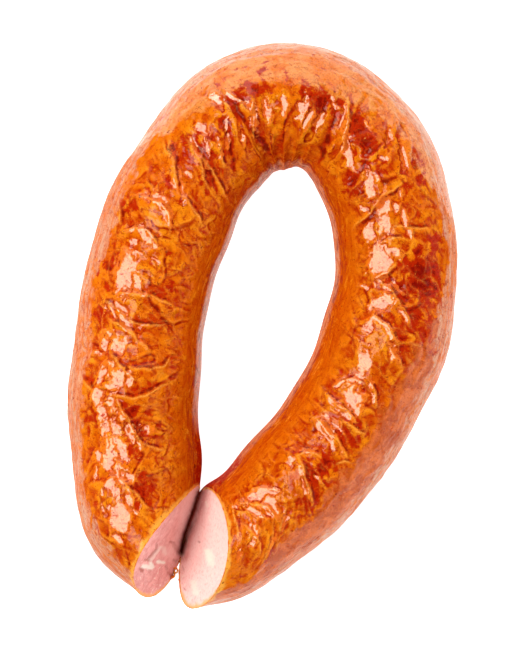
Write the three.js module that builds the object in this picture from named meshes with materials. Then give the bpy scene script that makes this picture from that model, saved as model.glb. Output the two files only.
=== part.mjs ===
// A smoked sausage bent into an upright oval ring. It lies flat, and both of its tips are cut off
// aslant, so that the two cut faces stand close together at the foot of the ring.
//
// Millimetres. +X points across the ring, +Y along it towards the closed end, +Z up. The origin is
// on the surface that the sausage lies on, under the middle of the ring.
//
// The solid is one closed skin through a row of sections. Every section is a flat, slightly sagged
// oval that spans the sausage from its outer edge to its inner edge, and it is pressed flat where
// it touches the surface below. The first section and the last are the cut faces.

import * as THREE from 'three';

// The ring seen from above, from the left cut over the closed end to the right cut.
// Each station gives the outer edge and the inner edge: [outer x, outer y, inner x, inner y].
const STATIONS = [
  [-37.5, -86.5, -20.5, -51.5],
  [-53.5, -72.5, -19.5, -44],
  [-60.5, -49, -20, -33],
  [-61.5, -20, -20, -13],
  [-56.5, 19, -16, 11],
  [-43, 53.5, -8.5, 32.5],
  [-20.5, 81, 1.5, 47],
  [7, 90, 7, 50],
  [35.5, 81.5, 12.5, 49.5],
  [55.5, 55, 20, 39],
  [62.5, 19, 23, 20],
  [56.5, -15, 19, -1],
  [39, -47.5, 6.5, -25],
  [15, -73, -9.5, -43.5],
  [-4.5, -86, -17, -50.5],
  [-22, -90, -17.5, -52.5],
];

const LEFT_HEIGHT = 38.5;     // of the sausage at the left cut, where it is thicker
const RIGHT_HEIGHT = 37;      // at the right cut
const PRESSED_FLAT = 0.8;     // how much of the roundness the weight presses flat underneath
const SAG = 2.5;              // how far the widest line of a section lies below its middle
const SAG_AT_CUTS = 5;

// A cut face leans back at the top. A lean is its run back for each millimetre of height.
// The left face is slightly warped, because its inner part is pushed upright by the other end.
const LEFT_LEAN_INNER = 0.19;
const LEFT_LEAN_OUTER = 0.35;
const RIGHT_LEAN = 0.37;
const CUT_REACH = 0.2;        // the share of the ring over which the cuts shape the sections
const LEFT_EGG = 0.3;         // the left end is plumper towards its outer edge

// Gathers: short folds of skin on the inner side of the tight bend, square to the sausage.
const GATHER_DEPTH = 1.1;
const GATHER_COUNT = 9;
const GATHER_START = 0.36;    // shares of the ring, counted from the left cut
const GATHER_END = 0.57;
const SHOULDER_ANGLE = THREE.MathUtils.degToRad(135);    // where they are deepest
const SHOULDER_REACH = THREE.MathUtils.degToRad(60);

// Swelling: the filling is uneven, so the sausage is a little fatter here and thinner there.
const SWELLINGS = [
  { height: 0.35, waves: 7, turn: 0.8 },
  { height: 0.25, waves: 12, turn: 2.9 },
];

const SECTION_COUNT = 150;
const SIDE_COUNT = 28;

const FULL_TURN = 2 * Math.PI;
const { clamp, lerp, smoothstep } = THREE.MathUtils;

function curveThrough(placeOf) {
  const points = STATIONS.map((station) => new THREE.Vector3(...placeOf(station), 0));
  return new THREE.CatmullRomCurve3(points, false, 'catmullrom', 0.5);
}

const outerEdge = curveThrough(([x, y]) => [x, y]);
const innerEdge = curveThrough(([, , x, y]) => [x, y]);
const middleLine = curveThrough(([x, y, innerX, innerY]) => [(x + innerX) / 2, (y + innerY) / 2]);

// 1 at a cut, falling smoothly to 0 where the cut shapes the sections no more.
function nearCut(shareAway) {
  return 1 - smoothstep(shareAway, 0, CUT_REACH);
}

// 1 on the inner shoulder of a section, halfway between its top and its inner edge, 0 well away.
function innerShoulder(angle) {
  const turnsAway = Math.abs(angle - SHOULDER_ANGLE) / SHOULDER_REACH;
  return 1 - smoothstep(turnsAway, 0.2, 1);
}

// How far the skin stands proud of the plain oval, at a share of the ring and an angle round it.
function relief(along, angle) {
  const place = (along - GATHER_START) / (GATHER_END - GATHER_START);
  const fade = Math.sin(Math.PI * clamp(place, 0, 1));
  const fold = 0.5 + 0.5 * Math.cos(FULL_TURN * GATHER_COUNT * place);
  let height = -GATHER_DEPTH * fade * fold * innerShoulder(angle);
  for (const swelling of SWELLINGS) {
    height += swelling.height * Math.sin(FULL_TURN * swelling.waves * along + swelling.turn);
  }
  return height;
}

// The corners of one section, the angle counted from the outer edge over the top. It lies at a
// share of the middle line's length, and the two edges run in step with that line.
function section(along) {
  const step = middleLine.getUtoTmapping(along);
  const outer = outerEdge.getPoint(step);
  const inner = innerEdge.getPoint(step);
  const middle = outer.clone().add(inner).multiplyScalar(0.5);
  const sideways = outer.clone().sub(inner).normalize();
  const halfWidth = outer.distanceTo(inner) / 2;
  const halfHeight = lerp(LEFT_HEIGHT, RIGHT_HEIGHT, along) / 2;

  const forwards = new THREE.Vector3(sideways.y, -sideways.x, 0);
  const nearLeft = nearCut(along);
  const nearRight = nearCut(1 - along);
  const egg = LEFT_EGG * nearLeft;
  const sag = lerp(SAG, SAG_AT_CUTS, nearLeft + nearRight);

  const flatPoints = [];
  for (let side = 0; side < SIDE_COUNT; side += 1) {
    const angle = FULL_TURN * side / SIDE_COUNT;
    const growth = relief(along, angle);
    const across = (halfWidth + growth) * Math.cos(angle);
    const plumpness = 1 + egg * Math.cos(angle);
    const up = (halfHeight + growth) * plumpness * Math.sin(angle) - sag * Math.cos(angle) ** 2;
    const leftLean = lerp(LEFT_LEAN_INNER, LEFT_LEAN_OUTER, 0.5 + 0.5 * Math.cos(angle));
    const lean = leftLean * nearLeft - RIGHT_LEAN * nearRight;
    flatPoints.push({ across, up, lean });
  }
  const lowest = Math.min(...flatPoints.map((point) => point.up));
  const foot = lowest + PRESSED_FLAT;
  return flatPoints.map(({ across, up, lean }) => {
    const pressedUp = Math.max(up, foot);
    const corner = middle.clone();
    corner.addScaledVector(sideways, across);
    corner.addScaledVector(forwards, (pressedUp + sag) * lean);
    corner.z = pressedUp - foot;
    return corner;
  });
}

function sausageGeometry() {
  const positions = [];
  const triangles = [];
  const sections = [];
  for (let step = 0; step <= SECTION_COUNT; step += 1) {
    sections.push(section(step / SECTION_COUNT));
  }
  for (const corners of sections) {
    for (const corner of corners) {
      positions.push(corner.x, corner.y, corner.z);
    }
  }
  const cornerIndex = (step, side) => step * SIDE_COUNT + (side % SIDE_COUNT);
  for (let step = 0; step < SECTION_COUNT; step += 1) {
    for (let side = 0; side < SIDE_COUNT; side += 1) {
      const here = cornerIndex(step, side);
      const above = cornerIndex(step, side + 1);
      const ahead = cornerIndex(step + 1, side);
      const aheadAbove = cornerIndex(step + 1, side + 1);
      triangles.push(here, above, aheadAbove, here, aheadAbove, ahead);
    }
  }

  // Each cut face is a fan of triangles round its own middle.
  for (const [step, facesForwards] of [[0, false], [SECTION_COUNT, true]]) {
    const middle = new THREE.Vector3();
    for (const corner of sections[step]) {
      middle.addScaledVector(corner, 1 / SIDE_COUNT);
    }
    const middleIndex = positions.length / 3;
    positions.push(middle.x, middle.y, middle.z);
    for (let side = 0; side < SIDE_COUNT; side += 1) {
      const here = cornerIndex(step, side);
      const above = cornerIndex(step, side + 1);
      triangles.push(middleIndex, ...(facesForwards ? [here, above] : [above, here]));
    }
  }

  const geometry = new THREE.BufferGeometry();
  geometry.setAttribute('position', new THREE.Float32BufferAttribute(positions, 3));
  geometry.setIndex(triangles);
  geometry.computeVertexNormals();
  return geometry;
}

const smokedSkin = new THREE.MeshStandardMaterial({ color: 0xc9691c, roughness: 0.3, metalness: 0 });

const sausage = new THREE.Mesh(sausageGeometry(), smokedSkin);
sausage.name = 'sausage';

const ring = new THREE.Group();
ring.add(sausage);

export default ring;
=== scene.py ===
"""A smoked sausage ring that lies flat on a white table, seen from straight above.

Metres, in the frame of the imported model: +X across the ring, +Y along it towards its closed end,
+Z up. The origin is on the table under the middle of the ring. Sizes of the sausage itself are
written in millimetres and multiplied by MM.
"""

import math

import bpy
import numpy as np
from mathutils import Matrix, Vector


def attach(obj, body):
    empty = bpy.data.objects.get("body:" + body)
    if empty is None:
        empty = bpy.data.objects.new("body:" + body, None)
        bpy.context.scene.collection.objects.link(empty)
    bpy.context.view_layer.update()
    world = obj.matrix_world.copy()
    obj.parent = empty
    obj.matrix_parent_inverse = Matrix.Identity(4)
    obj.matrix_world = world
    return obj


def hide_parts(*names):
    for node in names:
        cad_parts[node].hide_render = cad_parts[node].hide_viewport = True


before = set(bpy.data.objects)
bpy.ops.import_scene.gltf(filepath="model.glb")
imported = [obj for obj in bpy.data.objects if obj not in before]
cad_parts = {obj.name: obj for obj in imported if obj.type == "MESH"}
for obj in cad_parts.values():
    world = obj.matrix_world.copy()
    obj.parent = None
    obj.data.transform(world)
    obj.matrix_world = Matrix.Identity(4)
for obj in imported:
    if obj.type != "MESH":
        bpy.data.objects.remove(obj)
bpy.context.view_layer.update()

MM = 0.001

# ---- The camera -----------------------------------------------------------------------------
# A long lens well above the ring, looking straight down, with the ring's length upright in the
# picture.

CAMERA_ABOVE = 1.2                              # above the sausage's widest line
WIDEST_LINE = 15 * MM
PICTURE_LENGTH = 208 * MM                       # what the long side of the picture takes in
PICTURE_CENTRE = (-3.04 * MM, 0.16 * MM)

camera_data = bpy.data.cameras.new("overhead_camera")
camera_data.lens = camera_data.sensor_width * CAMERA_ABOVE / PICTURE_LENGTH
camera = bpy.data.objects.new("overhead_camera", camera_data)
camera.location = (*PICTURE_CENTRE, WIDEST_LINE + CAMERA_ABOVE)
bpy.context.collection.objects.link(camera)
bpy.context.scene.camera = camera

# ---- The table and the light ----------------------------------------------------------------
# A white table that glows softly, so that it stays white and throws hardly any shadow. A large
# softbox stands on the left and leans over the ring, a wide, weaker one stands behind it, and a
# low reflector on the right and two soft fills brighten the rest.


class Shade:
    """One output of a node in a material. Arithmetic on it adds Math nodes."""

    def __init__(self, tree, socket=None):
        self.tree = tree
        self.socket = socket

    def node(self, kind, settings=None, sockets=None, output=0):
        """Adds a node: its settings first, then the values or links of its sockets."""
        made = self.tree.nodes.new(kind)
        for name, value in (settings or {}).items():
            setattr(made, name, value)
        for name, value in (sockets or {}).items():
            if isinstance(value, Shade):
                self.tree.links.new(value.socket, made.inputs[name])
            else:
                made.inputs[name].default_value = value
        return Shade(self.tree, made.outputs[output] if made.outputs else None)

    def maths(self, operation, first, second):
        return self.node("ShaderNodeMath", {"operation": operation}, {0: first, 1: second})

    def __add__(self, other):
        return self.maths("ADD", self, other)

    __radd__ = __add__

    def __sub__(self, other):
        return self.maths("SUBTRACT", self, other)

    def __rsub__(self, other):
        return self.maths("SUBTRACT", other, self)

    def __mul__(self, other):
        return self.maths("MULTIPLY", self, other)

    __rmul__ = __mul__

    def between(self, low, high):
        """0 where this is at or below low, 1 at or above high, and a smooth step between."""
        return self.node(
            "ShaderNodeMapRange",
            {"interpolation_type": "SMOOTHSTEP"},
            {"Value": self, "From Min": low, "From Max": high},
        )

    def towards(self, first, second):
        """The first colour where this is 0, the second where it is 1."""
        return self.node(
            "ShaderNodeMix",
            {"data_type": "RGBA"},
            {0: self, 6: first, 7: second},
            output=2,
        )


def new_material(name):
    """An empty material with its output node, and a Shade to add its nodes with."""
    material = bpy.data.materials.new(name)
    material.use_nodes = True
    tree = material.node_tree
    tree.nodes.clear()
    return material, Shade(tree)


def finish_material(shade, sockets):
    """Adds the surface, with the values or links of its sockets, and the material's output."""
    surface = shade.node("ShaderNodeBsdfPrincipled", {}, sockets)
    shade.node("ShaderNodeOutputMaterial", {}, {"Surface": surface})


FLOOR_SIZE = 6
FLOOR_GREY = (0.5, 0.5, 0.5, 1)
FLOOR_GLOW = (1, 1, 1, 1)
FLOOR_BELOW = 0.1 * MM

floor_material, floor_shade = new_material("white_table")
finish_material(
    floor_shade,
    {
        "Base Color": FLOOR_GREY,
        "Roughness": 0.9,
        "Specular IOR Level": 0.0,
        "Emission Color": FLOOR_GLOW,
        "Emission Strength": 1.0,
    },
)
floor_mesh = bpy.data.meshes.new("table_top")
floor_corners = [
    (x * FLOOR_SIZE / 2, y * FLOOR_SIZE / 2, -FLOOR_BELOW)
    for x, y in ((-1, -1), (1, -1), (1, 1), (-1, 1))
]
floor_mesh.from_pydata(floor_corners, [], [(0, 1, 2, 3)])
floor_mesh.materials.append(floor_material)
floor = bpy.data.objects.new("table_top", floor_mesh)
bpy.context.collection.objects.link(floor)


# Each light: name, azimuth from +X towards +Y and angle from the zenith in degrees, distance,
# width, height, radiance and tint. The fills aren't mirrored in the casing.
LIGHTS = (
    ("left_softbox", 180, 28, 1.0, 0.7, 0.55, 8, (1, 0.97, 0.86)),
    ("back_softbox", 90, 62, 1.3, 2.0, 1.1, 1.7, (1, 0.95, 0.88)),
    ("right_reflector", -25, 80, 1.2, 3.0, 0.5, 0.9, (1, 0.95, 0.9)),
    ("right_fill", -20, 72, 1.3, 2.0, 1.2, 1.4, (1, 0.97, 0.92)),
    ("top_fill", 90, 5, 1.3, 2.0, 1.2, 0.35, (1, 0.97, 0.92)),
)
for name, azimuth, from_zenith, distance, across, tall, radiance, tint in LIGHTS:
    data = bpy.data.lights.new(name, "AREA")
    data.shape = "RECTANGLE"
    data.size = across
    data.size_y = tall
    data.energy = radiance * math.pi * across * tall
    data.color = tint
    turn = math.radians(azimuth)
    fall = math.radians(from_zenith)
    away = Vector((math.cos(turn) * math.sin(fall), math.sin(turn) * math.sin(fall), math.cos(fall)))
    light = bpy.data.objects.new(name, data)
    light.location = away * distance
    light.rotation_mode = "QUATERNION"
    light.rotation_quaternion = away.to_track_quat("Z", "Y")
    light.visible_camera = False
    light.visible_glossy = not name.endswith("fill")
    bpy.context.collection.objects.link(light)

# The room is white at the horizon and nearly black overhead.
ROOM_WHITE = (1, 1, 1, 1)
ROOM_BLACK = (0.03, 0.03, 0.03, 1)

world = bpy.data.worlds.new("studio")
world.use_nodes = True
world.node_tree.nodes.clear()
sky = Shade(world.node_tree)
direction = sky.node("ShaderNodeTexCoord")
sky_height = sky.node("ShaderNodeSeparateXYZ", {}, {0: direction}, output=2)
glow = sky_height.between(0.02, 0.2).towards(ROOM_WHITE, ROOM_BLACK)
background = sky.node("ShaderNodeBackground", {}, {"Color": glow, "Strength": 1.0})
sky.node("ShaderNodeOutputWorld", {}, {"Surface": background})
bpy.context.scene.world = world
view = bpy.context.scene.view_settings
view.view_transform = "Standard"

# ---- The sausage ----------------------------------------------------------------------------
# Finely minced pork in a thin natural casing, smoked and roasted. The casing has shrunk onto the
# meat in sharp little folds, and both tips are cut off aslant. It replaces the plain solid.

# The ring from above, from the left cut over the closed end to the right cut, in millimetres.
# Each station gives the outer edge and the inner edge: (outer x, outer y, inner x, inner y).
STATIONS = (
    (-37.5, -86.5, -20.5, -51.5),
    (-53.5, -72.5, -19.5, -44),
    (-60.5, -49, -20, -33),
    (-61.5, -20, -20, -13),
    (-56.5, 19, -16, 11),
    (-43, 53.5, -8.5, 32.5),
    (-20.5, 81, 1.5, 47),
    (7, 90, 7, 50),
    (35.5, 81.5, 12.5, 49.5),
    (55.5, 55, 20, 39),
    (62.5, 19, 23, 20),
    (56.5, -15, 19, -1),
    (39, -47.5, 6.5, -25),
    (15, -73, -9.5, -43.5),
    (-4.5, -86, -17, -50.5),
    (-22, -90, -17.5, -52.5),
)
LEFT_HEIGHT = 38.5
RIGHT_HEIGHT = 37
PRESSED_FLAT = 0.8        # how much of the roundness the weight presses flat underneath
SAG = 2.5                 # how far the widest line lies below the middle
SAG_AT_CUTS = 5
LEFT_LEAN_INNER = 0.19    # run back of a cut face for each millimetre of height
LEFT_LEAN_OUTER = 0.35
RIGHT_LEAN = 0.37
CUT_REACH = 0.2           # the share of the ring over which a cut shapes the sections
LEFT_EGG = 0.3            # the left end is plumper towards its outer edge
GATHER_DEPTH = 1.1        # of the short folds on the inner side of the tight bend
GATHER_COUNT = 9
GATHER_START = 0.36       # shares of the ring
GATHER_END = 0.57
SHOULDER_ANGLE = math.radians(135)
SHOULDER_REACH = math.radians(60)
SWELLINGS = ((0.35, 7, 0.8), (0.25, 12, 2.9))  # height, waves along the ring, turn
RING_LENGTH = 347.4       # of the middle line
CURVE_STEPS = 201

ROWS_ALONG = 900
COLUMNS_ROUND = 300


def lerp(first, second, share):
    return first + (second - first) * share


def smoothstep(value, low, high):
    share = np.clip((value - low) / (high - low), 0, 1)
    return share * share * (3 - 2 * share)


def curve_through(points, steps):
    """A smooth curve through the points, at steps from 0 to 1 that count the points evenly."""
    points = np.asarray(points, float)
    before = 2 * points[0] - points[1]
    after = 2 * points[-1] - points[-2]
    padded = np.vstack([before, points, after])
    place = np.clip(steps, 0, 1) * (len(points) - 1)
    piece = np.minimum(place.astype(int), len(points) - 2)
    t = (place - piece)[:, None]
    p0, p1, p2, p3 = (padded[piece + k] for k in range(4))
    slope_in = (p2 - p0) / 2
    slope_out = (p3 - p1) / 2
    return (
        (2 * t**3 - 3 * t**2 + 1) * p1
        + (t**3 - 2 * t**2 + t) * slope_in
        + (3 * t**2 - 2 * t**3) * p2
        + (t**3 - t**2) * slope_out
    )


stations = np.array(STATIONS)
outer_points = stations[:, :2]
inner_points = stations[:, 2:]
middle_points = (outer_points + inner_points) / 2


def steps_at(along):
    """The curves' steps at shares of the middle line's length."""
    steps = np.linspace(0, 1, CURVE_STEPS)
    line = curve_through(middle_points, steps)
    lengths = np.concatenate([[0], np.cumsum(np.linalg.norm(np.diff(line, axis=0), axis=1))])
    return np.interp(along * lengths[-1], lengths, steps)


def plain_surface(along, angle):
    """The solid's own surface in millimetres, for a column of shares and a row of angles."""
    steps = steps_at(along)
    outer = curve_through(outer_points, steps)
    inner = curve_through(inner_points, steps)
    middle = (outer + inner) / 2
    span = outer - inner
    width = np.linalg.norm(span, axis=1, keepdims=True)
    sideways = span / width
    forwards = np.column_stack([sideways[:, 1], -sideways[:, 0]])

    share = along[:, None]
    turn = angle[None, :]
    near_left = 1 - smoothstep(share, 0, CUT_REACH)
    near_right = 1 - smoothstep(1 - share, 0, CUT_REACH)
    sag = lerp(SAG, SAG_AT_CUTS, near_left + near_right)
    half_height = lerp(LEFT_HEIGHT, RIGHT_HEIGHT, share) / 2

    place = (share - GATHER_START) / (GATHER_END - GATHER_START)
    fade = np.sin(math.pi * np.clip(place, 0, 1))
    fold = 0.5 + 0.5 * np.cos(math.tau * GATHER_COUNT * place)
    on_shoulder = 1 - smoothstep(np.abs(turn - SHOULDER_ANGLE) / SHOULDER_REACH, 0.2, 1)
    growth = -GATHER_DEPTH * fade * fold * on_shoulder
    for height, waves, phase in SWELLINGS:
        growth = growth + height * np.sin(math.tau * waves * share + phase)

    across = (width / 2 + growth) * np.cos(turn)
    plumpness = 1 + LEFT_EGG * near_left * np.cos(turn)
    up = (half_height + growth) * plumpness * np.sin(turn) - sag * np.cos(turn) ** 2
    left_lean = lerp(LEFT_LEAN_INNER, LEFT_LEAN_OUTER, 0.5 + 0.5 * np.cos(turn))
    lean = left_lean * near_left - RIGHT_LEAN * near_right
    foot = up.min(axis=1, keepdims=True) + PRESSED_FLAT
    pressed_up = np.maximum(up, foot)
    surface = np.empty((*across.shape, 3))
    for axis in range(2):
        surface[:, :, axis] = (
            middle[:, axis, None]
            + sideways[:, axis, None] * across
            + forwards[:, axis, None] * (pressed_up + sag) * lean
        )
    surface[:, :, 2] = pressed_up - foot
    return surface


def surface_normals(surface):
    """Unit normals of a grid whose columns close round the sausage."""
    ahead = np.gradient(surface, axis=0)
    round_it = (np.roll(surface, -1, axis=1) - np.roll(surface, 1, axis=1)) / 2
    normals = np.cross(round_it, ahead)
    normals /= np.linalg.norm(normals, axis=2, keepdims=True) + 1e-12
    return normals


NOISE_CELLS = 256


def noise(x, y, seed):
    """Smooth gradient noise from about -1 to 1, with one swell for each unit of x and y."""
    lattice = np.random.default_rng(seed).uniform(0, math.tau, (NOISE_CELLS, NOISE_CELLS))
    cell_x = np.floor(x).astype(int)
    cell_y = np.floor(y).astype(int)
    part_x = x - cell_x
    part_y = y - cell_y
    ease_x = part_x**3 * (part_x * (6 * part_x - 15) + 10)
    ease_y = part_y**3 * (part_y * (6 * part_y - 15) + 10)

    def corner(step_x, step_y):
        heading = lattice[(cell_x + step_x) % NOISE_CELLS, (cell_y + step_y) % NOISE_CELLS]
        return np.cos(heading) * (part_x - step_x) + np.sin(heading) * (part_y - step_y)

    near_row = lerp(corner(0, 0), corner(1, 0), ease_x)
    far_row = lerp(corner(0, 1), corner(1, 1), ease_x)
    return 1.5 * lerp(near_row, far_row, ease_y)


# The columns lie closer together on top and at the sides than underneath.
ANGLE_STEPS = 2000
UNDERNEATH = -0.35        # the sine of the angle where the underside begins
SPARSE = 0.35             # how close the columns lie there
angles = np.linspace(0, math.tau, ANGLE_STEPS + 1)
density = np.where(np.sin(angles[:-1]) > UNDERNEATH, 1.0, SPARSE)
spread = np.concatenate([[0], np.cumsum(density)])
column_angle = np.interp(np.arange(COLUMNS_ROUND) * spread[-1] / COLUMNS_ROUND, spread, angles)
row_share = np.linspace(0, 1, ROWS_ALONG)
surface = plain_surface(row_share, column_angle)

# Low down, the right end swells towards the gap between the cuts and the left end gives way.
# Each step: y, and how far the end moves towards the gap there, in millimetres.
LEFT_SWELL = (
    (-86, 0), (-81, 0.5), (-76, 0.9), (-73, 0.4), (-70, -0.4), (-66, -0.4), (-62, -0.2), (-58, 0),
)
RIGHT_SWELL = ((-90, 1.2), (-86, 1.5), (-78, 1.6), (-73, 1.8), (-68, 1.4), (-64, 0.8), (-60, 0))
SWELL_REACH = 15          # along the sausage
SWELL_HEIGHTS = (6, 24)   # the ends move fully below the first and stay above the second
ROWS_INWARDS = 12         # from a cut to the row that tells which way is outwards
for rows_from_cut, swell in ((surface, LEFT_SWELL), (surface[::-1], RIGHT_SWELL)):
    outwards = rows_from_cut[0].mean(axis=0) - rows_from_cut[ROWS_INWARDS].mean(axis=0)
    outwards[2] = 0
    outwards /= np.linalg.norm(outwards)
    from_cut = np.arange(ROWS_ALONG)[:, None] * RING_LENGTH / ROWS_ALONG
    places, moves = zip(*swell)
    move = np.interp(rows_from_cut[:, :, 1], places, moves)
    move = move * (1 - smoothstep(from_cut, 0, SWELL_REACH))
    move = move * (1 - smoothstep(rows_from_cut[:, :, 2], *SWELL_HEIGHTS))
    rows_from_cut += outwards * move[:, :, None]
normals = surface_normals(surface)

# Distances along and round the sausage in millimetres. The inner side of the bend is gathered
# and the outer side stretched, because both are counted on the middle line.
MEAN_RADIUS = 20
ring_share = row_share[:, None]
s = np.broadcast_to(ring_share * RING_LENGTH, surface.shape[:2])
a = np.broadcast_to(column_angle[None, :] * MEAN_RADIUS, surface.shape[:2])


def swells(seed, size, size_round=None):
    """Noise over the skin. Its swells have the size in millimetres, or another one round it."""
    return noise(s / size, a / (size_round or size), seed)


def wander(size, reach, seed):
    """A smooth wandering offset, in millimetres."""
    return reach * (swells(seed, size) + 0.5 * swells(seed + 1, size / 2.3))


ROW_STEP = RING_LENGTH / (ROWS_ALONG - 1)
FOLD_WANDER = 13          # the size of the swells by which fold lines wander
LEAST_STEEPNESS = 0.25    # of the noise whose zero lines are the folds, over one spacing


def fold_distance(spacing, stretch, heading, seed, reach):
    """Signed distance in millimetres from the nearest of a family of wandering fold lines. The
    lines run across the sausage, turned by the heading."""
    turn = math.radians(heading)
    moved_s = s + wander(FOLD_WANDER, reach, seed + 10)
    moved_a = a + wander(FOLD_WANDER, reach, seed + 20)
    over = moved_s * math.cos(turn) + moved_a * math.sin(turn)
    along_line = -moved_s * math.sin(turn) + moved_a * math.cos(turn)
    swell = noise(over / spacing, along_line / (spacing * stretch), seed)
    slope_s = np.gradient(swell, axis=0) / ROW_STEP
    slope_a = (np.roll(swell, -1, axis=1) - np.roll(swell, 1, axis=1)) / (
        np.roll(a, -1, axis=1) - np.roll(a, 1, axis=1)
    )
    steepness = np.hypot(slope_s, slope_a)
    return swell / np.maximum(steepness, LEAST_STEEPNESS / spacing)


def fold_height(distance, gentle, steep):
    """A fold: it rises gently to its crest and drops steeply behind it."""
    return np.where(distance < 0, np.exp(distance / gentle), np.exp(-np.abs(distance) / steep))


def patches(size, seed, low, high):
    """Smooth patches, 1 inside and 0 between them."""
    return smoothstep(swells(seed, size), low, high)


def zone(angles_at_shares):
    """An angle in degrees that changes along the sausage, as a column."""
    shares, values = zip(*angles_at_shares)
    return np.interp(row_share, shares, values)[:, None]


# The casing is crumpled on top, between two limits. Each step: share of the ring, and degrees
# round the sausage from its outer edge over the top.
degrees = np.degrees(column_angle)[None, :]
OUTER_LIMIT = (
    (0, 44), (0.3, 44), (0.39, 62), (0.43, 72), (0.5, 73), (0.58, 46), (0.69, 42), (0.73, 62),
    (0.8, 66), (0.93, 62), (1, 50),
)
INNER_LIMIT = ((0, 132), (0.3, 140), (0.4, 165), (0.5, 165), (0.58, 130), (0.75, 128), (1, 138))
outer_limit = zone(OUTER_LIMIT)
inner_limit = zone(INNER_LIMIT)
crumpled = smoothstep(degrees, outer_limit - 14, outer_limit + 10)
crumpled = crumpled * (1 - smoothstep(degrees, inner_limit - 14, inner_limit + 12))

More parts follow.
